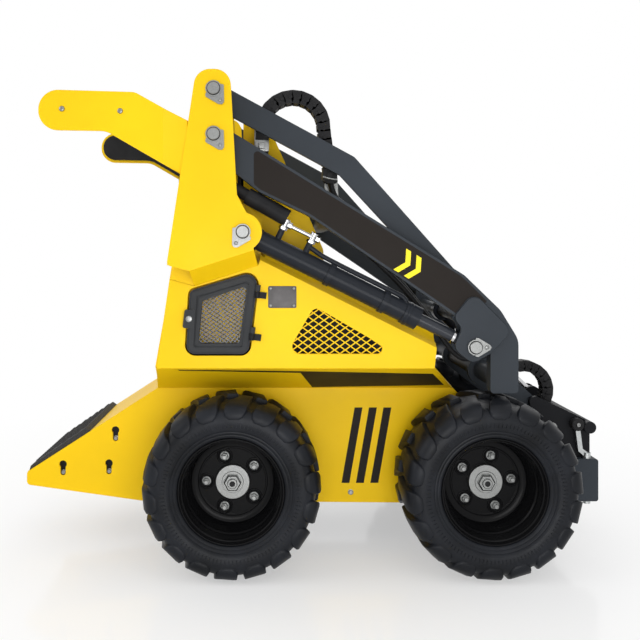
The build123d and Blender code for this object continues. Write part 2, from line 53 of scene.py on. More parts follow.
# Places from the machine's drawing, millimetres
AXLE_Z = 250
AXLE_X = {"rear": -232, "front": 488}
TYRE_MID_Y = 365
PIN_1 = (-281, 1354)
PIN_2 = (-281, 1229)
PIN_3 = (-201, 960)
ROD_PIN = (444, 640)
CYLINDER_Y = 400
CYLINDER_LEN = math.dist(PIN_3, ROD_PIN)
ALONG = (Vector(ROD_PIN) - Vector(PIN_3)).normalized()
ACROSS = Vector((-ALONG.y, ALONG.x))
TOWER_FACE = 446
PANEL_FACE = 388
CHASSIS_FACE = 215
ARM_FACE = 420
DOUBLER_FACE = 430
GUARD_FACE = 412
LOCK_PLATE_T = 5
PIN_HEAD_OUT = 8


# Materials: every finish is a node tree on object coordinates

def wire_up(tree, *rows):
    # Links between nodes: from a node, its output, to a node, its input
    for source, output, target, entry in rows:
        tree.links.new(source.outputs[output], target.inputs[entry])


def shader(name, colour, rough, metal=0.0, coat=0.0, specular=0.5):
    mat = bpy.data.materials.new(name)
    mat.use_nodes = True
    bsdf = mat.node_tree.nodes["Principled BSDF"]
    bsdf.inputs["Base Color"].default_value = (*colour, 1)
    bsdf.inputs["Roughness"].default_value = rough
    bsdf.inputs["Metallic"].default_value = metal
    bsdf.inputs["Coat Weight"].default_value = coat
    bsdf.inputs["Coat Roughness"].default_value = 0.1
    bsdf.inputs["Specular IOR Level"].default_value = specular
    mat.diffuse_color = (*colour, 1)
    return mat, mat.node_tree, bsdf


def noise(tree, scale, detail=3.0, rough=0.5):
    coord = tree.nodes.new("ShaderNodeTexCoord")
    tex = tree.nodes.new("ShaderNodeTexNoise")
    tex.inputs["Scale"].default_value = scale
    tex.inputs["Detail"].default_value = detail
    tex.inputs["Roughness"].default_value = rough
    tree.links.new(coord.outputs["Object"], tex.inputs["Vector"])
    return tex.outputs["Fac"]


def tint(tree, bsdf, value, low, high):
    # Base colour between two stops, each a place and a colour
    node = tree.nodes.new("ShaderNodeValToRGB")
    for stop, (spot, colour) in zip(node.color_ramp.elements, (low, high)):
        stop.position = spot
        stop.color = (*colour, 1)
    tree.links.new(value, node.inputs["Fac"])
    tree.links.new(node.outputs["Color"], bsdf.inputs["Base Color"])


def spread(tree, value, low, high):
    node = tree.nodes.new("ShaderNodeMapRange")
    node.inputs["To Min"].default_value = low
    node.inputs["To Max"].default_value = high
    tree.links.new(value, node.inputs["Value"])
    return node.outputs["Result"]


def bump(tree, bsdf, value, strength, distance, edge=0.0):
    node = tree.nodes.new("ShaderNodeBump")
    node.inputs["Strength"].default_value = strength
    node.inputs["Distance"].default_value = distance
    tree.links.new(value, node.inputs["Height"])
    if edge:
        soft = tree.nodes.new("ShaderNodeBevel")
        soft.samples = 4
        soft.inputs["Radius"].default_value = edge
        tree.links.new(soft.outputs["Normal"], node.inputs["Normal"])
    tree.links.new(node.outputs["Normal"], bsdf.inputs["Normal"])


def shade(colour, factor):
    return tuple(min(1.0, c * factor) for c in colour)


def paint(name, colour, rough, peel=0.15, edge=0.0015, coat=0.0, vary=0.06, specular=0.15):
    # Sprayed paint: faint cloudiness, orange peel and softened sheet edges
    mat, tree, bsdf = shader(name, colour, rough, coat=coat, specular=specular)
    tint(tree, bsdf, noise(tree, 3.0, 4.0), (0.3, shade(colour, 1 - vary)), (0.7, shade(colour, 1 + vary)))
    tree.links.new(spread(tree, noise(tree, 14.0), rough - 0.06, rough + 0.08), bsdf.inputs["Roughness"])
    bump(tree, bsdf, noise(tree, 420.0, 2.0), peel, 0.0004, edge)
    return mat


def steel(name, colour, rough, scale=260.0):
    # Metal with a fine grain
    mat, tree, bsdf = shader(name, colour, rough, metal=1.0)
    grain = noise(tree, scale, 5.0, 0.65)
    tint(tree, bsdf, grain, (0.25, shade(colour, 0.78)), (0.75, shade(colour, 1.08)))
    tree.links.new(spread(tree, noise(tree, 40.0), rough - 0.08, rough + 0.12), bsdf.inputs["Roughness"])
    bump(tree, bsdf, grain, 0.12, 0.0003, 0.0006)
    return mat


def rubber(name, colour, rough, dust_and_sheen, specular=0.1):
    # Rubber or moulded plastic, dusty in patches; on the tyre the lighter bluish patches are painted sheen as
    # well as dust
    mat, tree, bsdf = shader(name, colour, rough, specular=specular)
    tint(tree, bsdf, noise(tree, 9.0, 6.0, 0.6), (0.35, colour), (0.72, dust_and_sheen))
    tree.links.new(spread(tree, noise(tree, 22.0), rough - 0.1, rough + 0.12), bsdf.inputs["Roughness"])
    bump(tree, bsdf, noise(tree, 520.0, 3.0), 0.35, 0.0004)
    return mat


def gritty(name, colour, grit):
    # Sanded anti-slip sheet
    mat, tree, bsdf = shader(name, colour, 0.85)
    grain = noise(tree, 900.0, 2.0)
    tint(tree, bsdf, grain, (0.4, colour), (0.66, grit))
    bump(tree, bsdf, grain, 0.9, 0.0012)
    return mat


YELLOW = paint("yellow_paint", (0.90, 0.575, 0.006), 0.42, coat=0.03, specular=0.12)
ARM_GREY = paint("arm_grey_paint", (0.033, 0.039, 0.047), 0.46, vary=0.12)
BLACK = paint("satin_black_paint", (0.011, 0.0115, 0.0135), 0.40, vary=0.15, specular=0.1)
GLOSS = paint("gloss_black_rim", (0.005, 0.005, 0.0055), 0.24, peel=0.05, coat=0.02, vary=0.1, specular=0.08)
BARREL = paint("cylinder_black", (0.016, 0.0185, 0.024), 0.3, coat=0.05, vary=0.1, specular=0.1)
FILM = paint("dark_film", (0.018, 0.0145, 0.0125), 0.5, peel=0.03, edge=0.0, vary=0.05, specular=0.1)
BRIGHT_FILM = paint("yellow_film", (0.95, 0.78, 0.03), 0.45, peel=0.03, edge=0.0, vary=0.03)
RED = paint("red_plastic", (0.55, 0.02, 0.015), 0.35, peel=0.05, vary=0.05)
ZINC = steel("zinc_plate", (0.29, 0.295, 0.29), 0.34)
CHROME = steel("bright_chrome", (0.60, 0.60, 0.61), 0.14, 90.0)
BARE = steel("bare_plate", (0.11, 0.105, 0.105), 0.48, 30.0)
# Tyre: its bluish tint and lighter bluish patches are partly a painted sheen of the shoulders
TYRE = rubber("tyre_rubber", (0.0045, 0.0052, 0.0068), 0.42, (0.013, 0.0148, 0.0195), specular=0.17)
DOOR_BLACK = rubber("door_plastic", (0.034, 0.036, 0.039), 0.5, (0.046, 0.048, 0.051))
PLASTIC = rubber("black_plastic", (0.014, 0.014, 0.015), 0.5, (0.026, 0.026, 0.027))
HOSE = rubber("hose_rubber", (0.012, 0.012, 0.013), 0.42, (0.024, 0.024, 0.025))
GRIT = gritty("antislip_grit", (0.012, 0.012, 0.013), (0.07, 0.07, 0.072))
IRON = paint("engine_iron", (0.05, 0.05, 0.052), 0.6, peel=0.5, vary=0.2)
# Lift rods: chrome rods drawn in dark bluish paint, a painted reflection of their dark surroundings
DARK_REFLECTION_ROD = paint("rod_painted_dark_reflection", (0.024, 0.027, 0.034), 0.24, 0.03, 0.0006, vary=0.08, specular=0.3)
LEVER_PLATE = steel("lever_plate", (0.52, 0.54, 0.54), 0.42, 120.0)

# A finish for each slot of the record, and for the nodes that look different
FINISH = {
    "yellow_paint": YELLOW, "dark_grey_paint": ARM_GREY, "black_paint": BLACK, "gloss_black_rim": GLOSS,
    "tyre_rubber": TYRE, "bright_steel": ZINC, "black_plastic": PLASTIC, "engine_grey": IRON,
}
SPECIAL = {
    "foot_step": GRIT, "lift_barrel_right": BARREL, "lift_barrel_left": BARREL, "tilt_barrel": BARREL,
    "door_right": DOOR_BLACK, "door_left": DOOR_BLACK,
    "nose_cover": GLOSS, "lift_rod_right": DARK_REFLECTION_ROD, "lift_rod_left": DARK_REFLECTION_ROD, "tilt_rod": CHROME,
    "coupler_frame": BLACK, "lock_pins": LEVER_PLATE,
}
for row in frame["record"]["subparts"]:
    node = NODES[row["node"]]
    node.data.materials.clear()
    node.data.materials.append(SPECIAL.get(row["node"], FINISH[row["material_slot"]]))


# Shapes

def facing(towards):
    return Vector((0, 0, 1)).rotation_difference(Vector(towards).normalized())


def place(x, y, z, towards=(0, 0, 1)):
    # Matrix that sets a shape drawn along its own Z at a point, looking along "towards"
    return Matrix.Translation(Vector((x, y, z)) * MM) @ facing(towards).to_matrix().to_4x4()


def between(start, end, share):
    return tuple(a + (b - a) * share for a, b in zip(start, end))


def slant_up(foot, head):
    # The way a slanted face looks, its foot and head given in the X-Z plane
    return Vector((foot[1] - head[1], 0, head[0] - foot[0])).normalized()


def rounded(points, radii, steps=5):
    # Polygon with rounded corners; radii is one number or one for each corner
    if not isinstance(radii, (list, tuple)):
        radii = [radii] * len(points)
    result = []
    for i, radius in enumerate(radii):
        corner = Vector(points[i])
        back = (Vector(points[i - 1]) - corner).normalized()
        ahead = (Vector(points[(i + 1) % len(points)]) - corner).normalized()
        angle = back.angle(ahead)
        if radius <= 0 or angle > math.pi - 0.001:
            result.append(tuple(corner))
            continue
        centre = corner + (back + ahead).normalized() * (radius / math.sin(angle / 2))
        start = corner + back * (radius / math.tan(angle / 2)) - centre
        end = corner + ahead * (radius / math.tan(angle / 2)) - centre
        for s in range(steps + 1):
            result.append(tuple(centre + start.lerp(end, s / steps).normalized() * radius))
    return result


def skin(bm, rings, caps=True):
    # Quads between rings of vertices; a ring of one vertex is a tip
    for a, b in zip(rings, rings[1:]):
        count = max(len(a), len(b))
        for i in range(count):
            j = (i + 1) % count
            quad = [a[i % len(a)], a[j % len(a)], b[j % len(b)], b[i % len(b)]]
            corners = list(dict.fromkeys(quad))
            if len(corners) > 2:
                bm.faces.new(corners)
    if caps:
        for ring in (rings[0], rings[-1]):
            if len(ring) > 2:
                bm.faces.new(ring)


def side_ring(bm, points, y):
    # Ring of vertices on an outline in the X-Z plane, at one Y
    return [bm.verts.new((x * MM, y * MM, z * MM)) for x, z in points]


def round_rims(bm, rings, radius, segments):
    # Rounds the edges that run along the rings
    rims = dict.fromkeys(
        edge for ring in rings for corner in ring for edge in corner.link_edges
        if edge.verts[0] in ring and edge.verts[1] in ring
    )
    bmesh.ops.bevel(bm, geom=list(rims), offset=radius * MM, segments=segments, profile=0.5, affect="EDGES")


def prism(bm, points, low, high, bevel=0.0):
    # Outline in the X-Z plane carried from Y = low to Y = high, its rims rounded
    rings = [side_ring(bm, points, y) for y in (low, high)]
    skin(bm, rings)
    if bevel:
        round_rims(bm, rings, bevel, 2)


def side_pair(bm, points, low, high, bevel=0.0):
    # The same prism on both sides of the machine
    for sign in (-1, 1):
        prism(bm, points, sign * low, sign * high, bevel)


def ring_plate(bm, outer, inner, low, high, bevel):
    # Frame between two outlines with the same number of points, its rims rounded
    loops = [side_ring(bm, *row) for row in ((outer, low), (outer, high), (inner, high), (inner, low))]
    skin(bm, loops + loops[:1], caps=False)
    round_rims(bm, loops, bevel, 3)


def lathe(bm, profile, matrix=Matrix.Identity(4), turns=48, ring=False):
    # Profile of (z, r) in millimetres turned about the shape's own Z
    angles = [2 * math.pi * i / turns for i in range(turns)]
    rings = []
    for z, r in profile:
        corners = [(r * math.cos(a), r * math.sin(a), z) for a in angles] if r else [(0, 0, z)]
        rings.append([bm.verts.new(matrix @ (Vector(corner) * MM)) for corner in corners])
    if ring:
        rings.append(rings[0])
    skin(bm, rings, caps=not ring)


def slab(bm, corners, towards, thick):
    # Flat film on a slanted surface
    lift = Vector(towards).normalized() * thick
    rings = [[bm.verts.new((Vector(c) + lift * k) * MM) for c in corners] for k in (0.2, 1.0)]
    skin(bm, rings)


def add_object(name, data):
    ob = bpy.data.objects.new(name, data)
    bpy.context.scene.collection.objects.link(ob)
    return ob


def plain_mesh(ob):
    # The object's evaluated mesh; the object itself goes
    bpy.context.view_layer.update()
    mesh = bpy.data.meshes.new_from_object(ob.evaluated_get(bpy.context.evaluated_depsgraph_get()))
    bpy.data.objects.remove(ob)
    return mesh


def tube(bm, points, radius, sides=12, kind="NURBS"):
    # Round tube on one curve, the points its control points in millimetres
    route = bpy.data.curves.new("route", "CURVE")
    route.dimensions = "3D"
    line = route.splines.new(kind)
    line.points.add(len(points) - 1)
    for knot, spot in zip(line.points, points):
        knot.co = (*(Vector(spot) * MM), 1)
    line.order_u = 3
    line.use_endpoint_u = True
    line.resolution_u = 8
    route.bevel_depth = radius * MM
    route.bevel_resolution = sides // 2 - 2
    route.use_fill_caps = True
    mesh = plain_mesh(add_object("route", route))
    added = len(bm.verts)
    bm.from_mesh(mesh)
    bm.verts.ensure_lookup_table()
    bmesh.ops.remove_doubles(bm, verts=bm.verts[added:], dist=1e-6)


def drawn(name, draw, finish=None, sharp=32):
    # Mesh of what a drawing function makes, smooth but for edges sharper than so many degrees
    bm = bmesh.new()
    draw(bm)
    bmesh.ops.recalc_face_normals(bm, faces=bm.faces)
    mesh = bpy.data.meshes.new(name)
    bm.to_mesh(mesh)
    bm.free()
    mesh.polygons.foreach_set("use_smooth", [True] * len(mesh.polygons))
    mesh.set_sharp_from_angle(angle=math.radians(sharp))
    if finish:
        mesh.materials.append(finish)
    return mesh


def piece(name, mesh, body, slot, *replaced):
    # A visual piece on a CAD body
    ob = add_object(name, mesh)
    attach(ob, body)
    if replaced:
        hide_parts(*replaced)
    return ob


def build(name, draw, body, slot, finish):
    return piece(name, drawn(name, draw, finish), body, slot)


# Geometry Nodes trees for what repeats

def new_tree(name, **inputs):
    # Tree that takes a base mesh, inputs of its own and a finish
    tree = bpy.data.node_groups.new(name, "GeometryNodeTree")
    for label, kind in {"Geometry": "Geometry", **inputs, "Material": "Material"}.items():
        tree.interface.new_socket(label, in_out="INPUT", socket_type="NodeSocket" + kind)
    tree.interface.new_socket("Geometry", in_out="OUTPUT", socket_type="NodeSocketGeometry")
    return tree, tree.nodes.new("NodeGroupInput")


def set_copies(tree, given, turn):
    # Copies turned by a rotation node, made into one plain mesh with one finish
    copies = tree.nodes.new("GeometryNodeInstanceOnPoints")
    real = tree.nodes.new("GeometryNodeRealizeInstances")
    finish = tree.nodes.new("GeometryNodeSetMaterial")
    out = tree.nodes.new("NodeGroupOutput")
    wire_up(
        tree,
        (turn, "Rotation", copies, "Rotation"),
        (copies, "Instances", real, "Geometry"),
        (real, "Geometry", finish, "Geometry"),
        (given, "Material", finish, "Material"),
        (finish, "Geometry", out, "Geometry"),
    )
    return copies


def ring_tree():
    # The shape itself, repeated round its own Z
    tree, given = new_tree("repeat_round_axle", Count="Int", Start="Float")
    points = tree.nodes.new("GeometryNodePoints")
    index = tree.nodes.new("GeometryNodeInputIndex")
    step = tree.nodes.new("ShaderNodeMath")
    step.operation = "DIVIDE"
    step.inputs[0].default_value = 2 * math.pi
    angle = tree.nodes.new("ShaderNodeMath")
    angle.operation = "MULTIPLY_ADD"
    euler = tree.nodes.new("ShaderNodeCombineXYZ")
    turn = tree.nodes.new("FunctionNodeEulerToRotation")
    copies = set_copies(tree, given, turn)
    wire_up(
        tree,
        (given, "Count", points, "Count"),
        (given, "Count", step, 1),
        (index, "Index", angle, 0),
        (step, "Value", angle, 1),
        (given, "Start", angle, 2),
        (angle, "Value", euler, "Z"),
        (euler, "Vector", turn, "Euler"),
        (points, "Points", copies, "Points"),
        (given, "Geometry", copies, "Instance"),
    )
    return tree


def spots_tree():
    # A shape on each point, turned and scaled by the point's own attributes
    tree, given = new_tree("repeat_on_points", Shape="Object")
    shape = tree.nodes.new("GeometryNodeObjectInfo")
    turn = tree.nodes.new("FunctionNodeEulerToRotation")
    fields = {}
    for label in ("turn", "size"):
        fields[label] = tree.nodes.new("GeometryNodeInputNamedAttribute")
        fields[label].data_type = "FLOAT_VECTOR"
        fields[label].inputs["Name"].default_value = label
    copies = set_copies(tree, given, turn)
    wire_up(
        tree,
        (given, "Shape", shape, "Object"),
        (shape, "Geometry", copies, "Instance"),
        (given, "Geometry", copies, "Points"),
        (fields["turn"], "Attribute", turn, "Euler"),
        (fields["size"], "Attribute", copies, "Scale"),
    )
    return tree


def chain_tree():
    # Links set at a pitch along a path that lies in the X-Z plane
    tree, given = new_tree("links_on_path", Shape="Object", Pitch="Float")
    curve = tree.nodes.new("GeometryNodeMeshToCurve")
    points = tree.nodes.new("GeometryNodeCurveToPoints")
    points.mode = "LENGTH"
    shape = tree.nodes.new("GeometryNodeObjectInfo")
    turn = tree.nodes.new("FunctionNodeAlignRotationToVector")
    turn.axis = "X"
    turn.pivot_axis = "Y"
    copies = set_copies(tree, given, turn)
    wire_up(
        tree,
        (given, "Geometry", curve, "Mesh"),
        (curve, "Curve", points, "Curve"),
        (given, "Pitch", points, "Length"),
        (given, "Shape", shape, "Object"),
        (points, "Tangent", turn, "Vector"),
        (points, "Points", copies, "Points"),
        (shape, "Geometry", copies, "Instance"),
    )
    return tree


RING = ring_tree()
SPOTS = spots_tree()
CHAIN = chain_tree()


def grow(name, base, tree, **values):
    # Runs a tree on a base mesh and gives back the plain mesh
    host = add_object(name, base)
    modifier = host.modifiers.new("repeat", "NODES")
    modifier.node_group = tree
    for item in tree.interface.items_tree:
        if item.in_out == "INPUT" and item.name in values:
            modifier[item.identifier] = values[item.name]
    host.update_tag()
    mesh = plain_mesh(host)
    mesh.name = name
    return merge([mesh])


def shape_object(name, draw):
    # Shape for a tree to repeat; it goes when all its copies are made
    return add_object(name, drawn(name, draw))


def spots(name, shape, rows, finish):
    # Rows of (x, y, z, direction, size): a place in millimetres, the way the shape's Z looks,
    # and a scale of one or three numbers
    mesh = bpy.data.meshes.new(name + "_spots")
    mesh.from_pydata([Vector(row[:3]) * MM for row in rows], [], [])
    turn = mesh.attributes.new("turn", "FLOAT_VECTOR", "POINT")
    size = mesh.attributes.new("size", "FLOAT_VECTOR", "POINT")
    for i, row in enumerate(rows):
        turn.data[i].vector = facing(row[3]).to_euler()
        size.data[i].vector = row[4] if isinstance(row[4], (list, tuple)) else (row[4],) * 3
    return grow(name, mesh, SPOTS, Shape=shape, Material=finish)


def scatter(name, shape, rows, body, slot, finish):
    # A piece made of one shape repeated on rows of places
    piece(name, spots(name, shape, rows, finish), body, slot)


def path_mesh(name, path, y):
    # Open line of points in the X-Z plane for links to follow
    base = bpy.data.meshes.new(name)
    joins = [(i, i + 1) for i in range(len(path) - 1)]
    base.from_pydata([Vector((x, y, z)) * MM for x, z in path], joins, [])
    return base


def merge(meshes):
    # One mesh of several, materials kept
    bm = bmesh.new()
    finishes = []
    for mesh in meshes:
        count = len(bm.faces)
        bm.from_mesh(mesh)
        bm.faces.ensure_lookup_table()
        for face in bm.faces[count:]:
            finish = mesh.materials[face.material_index]
            if finish not in finishes:
                finishes.append(finish)
            face.material_index = finishes.index(finish)
    joined = bpy.data.meshes.new(meshes[0].name)
    bm.to_mesh(joined)
    bm.free()
    for finish in finishes:
        joined.materials.append(finish)
    return joined


# Wheels, drawn about their own Z with the outer side up

LUG = (  # top z, top r, root z, root r, sweep in degrees, half thickness at top, at root
    (5, 249.5, 5, 232, 0.0, 15, 18),
    (40, 249.5, 40, 232, 2.0, 18, 21),
    (70, 248.6, 68, 230, 4.0, 23, 26),
    (92, 245.5, 88, 227, 5.6, 29, 31),
    (110, 238.0, 102, 221, 6.6, 30.5, 32.5),
    (120, 227.0, 109, 212, 7.2, 29, 31.5),
    (124.8, 213.0, 114, 204, 7.6, 23, 27),
    (124.8, 204.0, 117, 197, 7.8, 13, 17),
)
TYRE_HALF = (  # z, r from the bead over the sidewall to the middle of the tread
    (99, 139), (103, 146.5), (107, 148), (110, 151), (112, 155), (111.4, 158), (113.5, 160), (115.6, 164),
    (115.0, 167), (118.5, 170), (120.5, 176), (122, 184), (122.8, 190), (122.4, 199), (121, 207), (118, 215),
    (112, 222), (103, 227), (90, 231), (60, 234), (0, 235.5),
)
RIM = (  # z, r from the outer flange over the steps to the disc, and back behind it
    (106, 146.5), (108, 145), (108, 142.5), (106, 141), (101, 140), (97, 138), (95, 135), (80, 133.5),
    (76, 131), (62, 130), (58, 126.5), (40, 125), (34, 121.5), (8, 119), (2, 117), (-1, 113), (-2.4, 108),
    (-3, 104), (-3, 100), (-1.6, 98), (-1.6, 95), (-3, 93), (-3, 46), (-13, 46), (-13, 110), (-22, 121),
    (-95, 123), (-97, 132), (-101, 137), (-106, 139), (-108, 142), (-106, 146.5), (-100, 146.5), (-98, 140),
    (98, 140), (100, 146.5),
)
WHEEL_TURNS = 96
LUG_COUNT = 18
LUG_EDGE_R = 2.6
RIB_COUNT = 110
STUD_COUNT = 5
STUD_START = {"rear": 36, "front": 5}
STUD_CIRCLE = 75
DISC_Z = -3
ON_DISC = place(0, 0, DISC_Z)
ON_STUD = place(STUD_CIRCLE, 0, DISC_Z)


def block(bm, rows, flip):
    # Rubber block that runs from the tread over the shoulder; flip is -1 on the wheel's inner half
    rings = []
    for top_z, top_r, root_z, root_r, sweep, top_half, root_half in rows:
        corners = (
            (root_z, root_r, -root_half), (top_z, top_r, -top_half),
            (top_z, top_r, top_half), (root_z, root_r, root_half),
        )
        ring = []
        for z, r, half in corners:
            a = math.radians(sweep) + half / r
            ring.append(bm.verts.new(Vector((r * math.cos(a), r * math.sin(a), flip * z)) * MM))
        rings.append(ring)
    skin(bm, rings)
    crests = [bm.edges.get((a[k], b[k])) for a, b in zip(rings, rings[1:]) for k in (1, 2)]
    crests += [bm.edges.get((ring[1], ring[2])) for ring in (rings[0], rings[-1])]
    bmesh.ops.bevel(bm, geom=crests, offset=LUG_EDGE_R * MM, segments=2, profile=0.5, affect="EDGES")


def rib(bm):
    # Fine radial rib of the sidewall band
    rings = []
    for half, z in ((1.2, 120), (0.8, 123.9)):
        corners = ((180, -half), (180, half), (192, half), (192, -half))
        rings.append([bm.verts.new(Vector((x, y, z)) * MM) for x, y in corners])
    skin(bm, rings)


def tyre_mesh():
    profile = TYRE_HALF + tuple((-z, r) for z, r in TYRE_HALF[-2::-1])
    parts = [drawn("tyre", lambda bm: lathe(bm, profile, turns=WHEEL_TURNS, ring=True), TYRE)]
    for flip, start in ((1, 0.0), (-1, math.pi / LUG_COUNT)):
        lug = drawn("lug", lambda bm: block(bm, LUG, flip), sharp=40)
        parts.append(grow("lugs", lug, RING, Count=LUG_COUNT, Start=start, Material=TYRE))
    parts.append(grow("ribs", drawn("rib", rib), RING, Count=RIB_COUNT, Start=0.0, Material=TYRE))
    return merge(parts)


def hexagon(bm, r, low, high, chamfer, matrix=Matrix.Identity(4)):
    # Six-sided head, its upper rim chamfered
    lathe(bm, ((low, r), (high - chamfer, r), (high, r - chamfer * 1.2), (high, 0)), matrix, 6)


def nut(bm):
    lathe(bm, ((0, 12.5), (2, 12.5), (2.2, 0)), ON_STUD, 24)
    hexagon(bm, 11, 2, 13, 1.6, ON_STUD)
    lathe(bm, ((13, 6.4), (20, 6.4), (21, 5.4), (21, 0)), ON_STUD, 20)


def well(bm):
    # Pressed rim round a stud
    lathe(bm, ((-0.5, 23), (2.4, 21.5), (2.6, 19.5), (-0.4, 16), (-0.5, 0)), ON_STUD, 32)


def hub(bm):
    lathe(bm, ((-1, 49.3), (10.5, 49.3), (12.5, 47.3), (12.5, 31), (14.5, 30), (14.5, 0)), ON_DISC, 64)
    hexagon(bm, 25, 13, 27, 3, ON_DISC)
    lathe(bm, ((27, 14), (32, 14), (33.5, 12.5), (33.5, 8), (27.5, 8), (27.5, 0)), ON_DISC, 32)


def rim_mesh(start):
    # Rim with its studs turned by a start angle
    return merge([
        drawn("disc", lambda bm: lathe(bm, RIM, turns=WHEEL_TURNS, ring=True), GLOSS, 28),
        grow("wells", drawn("well", well), RING, Count=STUD_COUNT, Start=start, Material=GLOSS),
        grow("nuts", drawn("nut", nut), RING, Count=STUD_COUNT, Start=start, Material=ZINC),
        drawn("cap", hub, ZINC),
        # Dark hexagon at the bottom of the hub cap's recess: painted shade in that recess
        drawn("hub_recess_shade", lambda bm: hexagon(bm, 11.5, 27, 31, 0.8, ON_DISC), PLASTIC),
    ])


def wheels():
    tyre = tyre_mesh()
    for end, axle_x in AXLE_X.items():
        rim = rim_mesh(math.radians(STUD_START[end]))
        for side, sign in SIDES:
            turn = Matrix.Rotation(math.radians(-90 * sign), 4, "X")
            spot = place(axle_x, sign * TYRE_MID_Y, AXLE_Z) @ turn
            for label, mesh, slot in (("tyre", tyre, "tyre_rubber"), ("rim", rim, "gloss_black_rim")):
                name = f"{label}_{end}_{side}"
                copy = mesh.copy()
                copy.transform(spot)
                piece(name + "_detail", copy, f"wheel_{end}_{side}", slot, name)


wheels()


# Small fasteners, one mesh for each body

def button(bm):
    # Button-head screw with a hexagon socket, 20 across
    lathe(bm, ((0, 10), (1.5, 10), (4, 8.6), (5.6, 5.6), (5.8, 3.4), (3.4, 3.2), (3.4, 0)), turns=24)


def hexhead(bm):
    # Hexagon screw on a washer, 24 across
    lathe(bm, ((0, 12), (1.8, 12), (2, 11.4), (2, 0)), turns=24)
    hexagon(bm, 10, 1.9, 9, 1.2)


def pin_cap(bm):
    # Chamfered face that stands on a pin's head
    lathe(bm, ((0, 17), (4, 17), (5.5, 15.5), (5.5, 0)), turns=40)


def pin_shadow_ring(bm):
    # Painted shadow: a dark ring round that face, for the shadow gap round the pin's head
    lathe(bm, ((0, 16.5), (0.4, 16.5), (0.4, 19), (0, 19)), turns=40, ring=True)


BUTTON = shape_object("button_shape", button)
HEXHEAD = shape_object("hexhead_shape", hexhead)
PIN_CAP = shape_object("pin_cap_shape", pin_cap)
PIN_SHADOW_RING = shape_object("pin_groove_shape", pin_shadow_ring)
TYPE_PLATE = ((-131, 746), (-51, 746), (-51, 808), (-131, 808))
TYPE_PLATE_T = 1.6
TYPE_PLATE_SCREWS = ((-124, 801), (-58, 801), (-124, 753), (-58, 753))
PIN_SCREWS = ((PIN_1, 18), (PIN_2, 18), (PIN_3, -18))
PIN_SCREW_REACH = 31
GUARD_SCREWS = ((-708, 1305), (-545, 1299))
SIDE_SCREWS = ((-430, 172), (-300, 172), (120, 172), (300, 172))
FASCIA_SCREWS = ((341, -180, 560), (341, 0, 560), (341, 180, 560))


def fasteners():
    buttons = []
    hexes = []
    arm_screws = []
    for sign in (-1, 1):
        out = (0, sign, 0)
        for (x, z), ahead in PIN_SCREWS:
            y = sign * (TOWER_FACE + LOCK_PLATE_T)
            buttons.append((x + ahead, y, z - PIN_SCREW_REACH, out, 0.55))
        for x, z in GUARD_SCREWS:
            buttons.append((x, sign * GUARD_FACE, z, out, 0.8))
        for x, z in SIDE_SCREWS:
            hexes.append((x, sign * CHASSIS_FACE, z, out, 0.7))
        for x, z in TYPE_PLATE_SCREWS:
            buttons.append((x, sign * (PANEL_FACE + TYPE_PLATE_T), z, out, 0.4))
        x, z = ROD_PIN
        arm_screws.append((x + PIN_SCREW_REACH, sign * (DOUBLER_FACE + LOCK_PLATE_T), z, out, 0.6))
    for spot in FASCIA_SCREWS:
        hexes.append((*spot, (1, 0, 0), 0.7))
    heads = merge([spots("buttons", BUTTON, buttons, ZINC), spots("hexes", HEXHEAD, hexes, ZINC)])
    piece("chassis_screws", heads, "chassis", "bright_steel")
    scatter("arm_screws", BUTTON, arm_screws, "lift_arm", "bright_steel", ZINC)


fasteners()


def pin_heads():
    tower_rows = []
    arm_rows = []
    for sign in (-1, 1):
        out = (0, sign, 0)
        for x, z in (PIN_1, PIN_2, PIN_3):
            tower_rows.append((x, sign * (TOWER_FACE + PIN_HEAD_OUT), z, out, 1.0))
        arm_rows.append((ROD_PIN[0], sign * (DOUBLER_FACE + PIN_HEAD_OUT), ROD_PIN[1], out, 1.0))
    for label, rows, body in (("tower", tower_rows, "chassis"), ("arm", arm_rows, "lift_arm")):
        scatter(label + "_pin_caps", PIN_CAP, rows, body, "bright_steel", ZINC)
        # Painted shadow rings round the pin heads, in black plastic
        scatter(label + "_pin_grooves", PIN_SHADOW_RING, rows, body, "black_plastic", PLASTIC)


pin_heads()


# Films and plates: plain stripes, blank type plate

FENDER_TOP = (PANEL_FACE, 575)
FENDER_FOOT = (CHASSIS_FACE, 490)


def on_fender(x, share, sign):
    # Point on the slanted fender strip, share 0 at its upper edge and 1 at its lower edge
    y, z = between(FENDER_TOP, FENDER_FOOT, share)
    return (x, sign * y, z)


BAND = (
    (-171, 1193), (-171, 1093), (-152, 1078), (-14, 1011), (233, 843), (396, 731), (458, 745), (479, 767),
    (427, 819), (406, 838),
)
BAND_RADII = (10, 10, 40, 150, 40, 3, 3, 3, 10, 10)
FENDER_FILMS = (
    ((-388, 0.06), (-42, 0.13), (-28, 0.21), (-384, 0.10)),
    ((-42, 0.13), (344, 0.26), (398, 0.84), (2, 0.96)),
)
BAR = ((92, 200), (116, 200), (156, 430), (132, 430))
BAR_PITCH = 44
BAR_COUNT = 3
FILM_T = 0.6
CHEVRON = ((0, 34), (16, 34), (34, 0), (16, -34), (0, -34), (18, 0))
CHEVRON_SPOT = Vector((236, 885))
CHEVRON_PITCH = 34
CHEVRON_FACE = ARM_FACE + 0.5


def films(bm):
    for sign in (-1, 1):
        away = (0, sign * (FENDER_TOP[1] - FENDER_FOOT[1]), FENDER_FOOT[0] - FENDER_TOP[0])
        for corners in FENDER_FILMS:
            slab(bm, [on_fender(x, share, sign) for x, share in corners], away, FILM_T)
    for i in range(BAR_COUNT):
        side_pair(bm, [(x + BAR_PITCH * i, z) for x, z in BAR], CHASSIS_FACE, CHASSIS_FACE + FILM_T)


def arm_films(bm):
    side_pair(bm, rounded(BAND, BAND_RADII), ARM_FACE, ARM_FACE + FILM_T)


